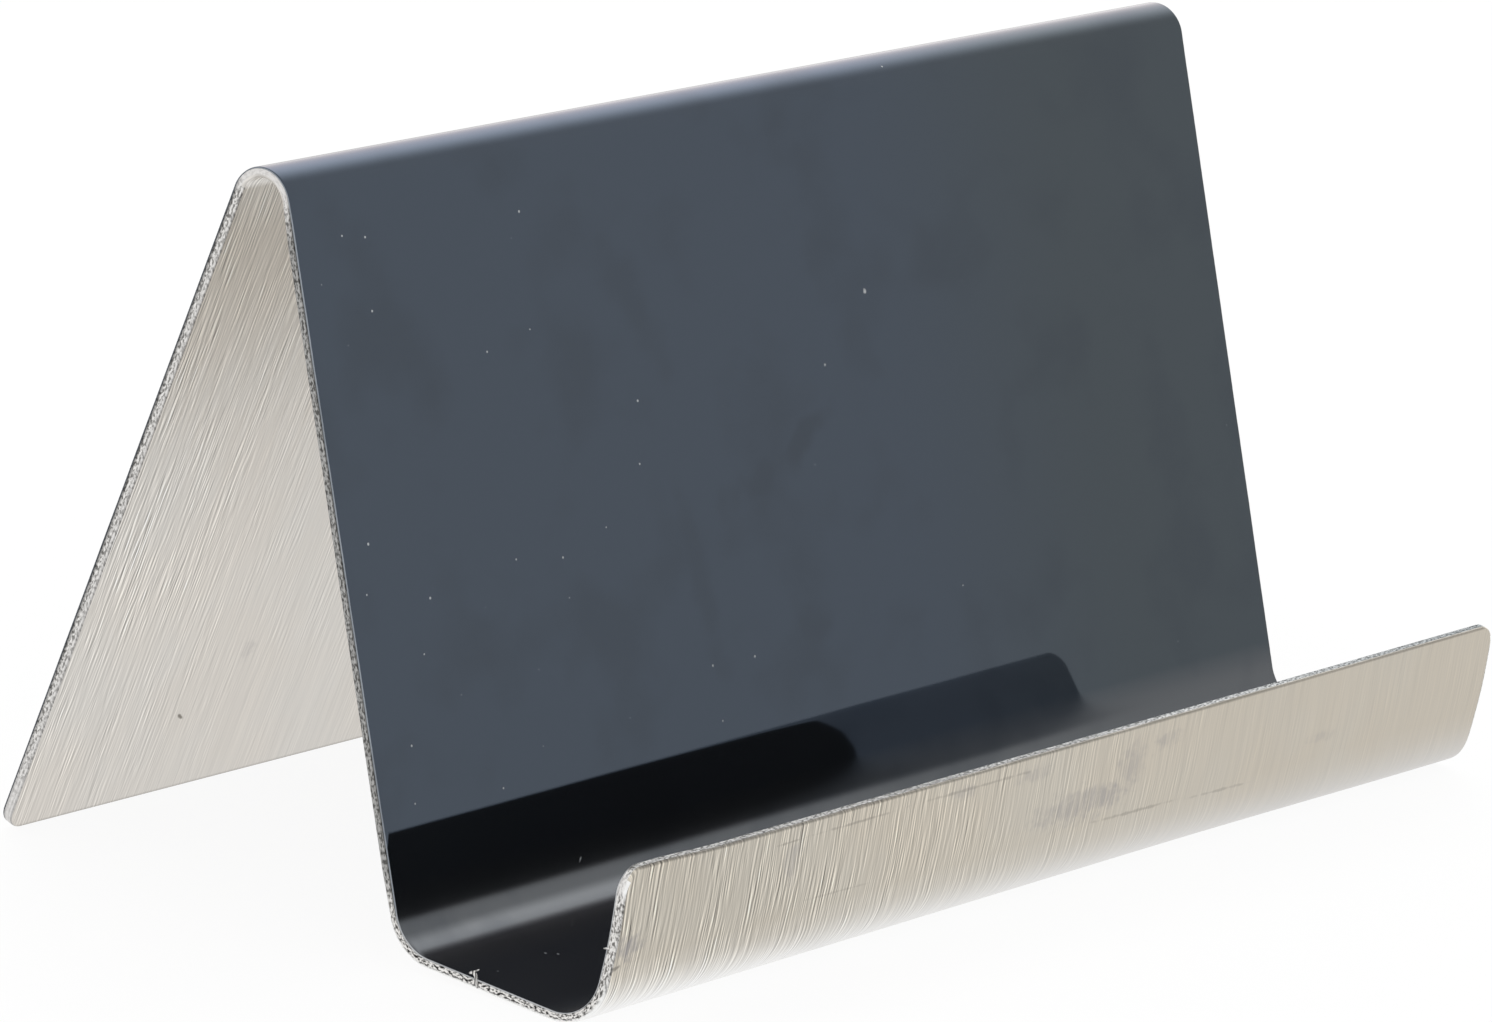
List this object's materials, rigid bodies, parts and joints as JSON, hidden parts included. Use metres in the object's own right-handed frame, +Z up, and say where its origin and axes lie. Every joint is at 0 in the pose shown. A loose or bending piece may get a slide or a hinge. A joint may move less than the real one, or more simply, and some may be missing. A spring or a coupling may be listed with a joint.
{
  "type": "business card holder stand",
  "caption": "Folded-sheet desk stand for business cards: brushed steel faced in gloss black, with a leaning panel, a shelf, a low front lip and a propping rear leg.",
  "frame": {"origin": "on the desk plane, under the middle of the stand's width and of its depth", "axes": "+X across the width along the folds, -Y to the front where the lip is, +Z up"},
  "size_m": [0.095, 0.053, 0.0487],
  "materials": {
    "brushed_steel": "stainless steel, brushed along the strip, with plain sheared edges",
    "gloss_black": "mirror-gloss black facing bonded to the steel"
  },
  "bodies": {
    "root": {"folded_steel_sheet": "brushed_steel", "gloss_black_facing": "gloss_black"}
  },
  "joints": []
}
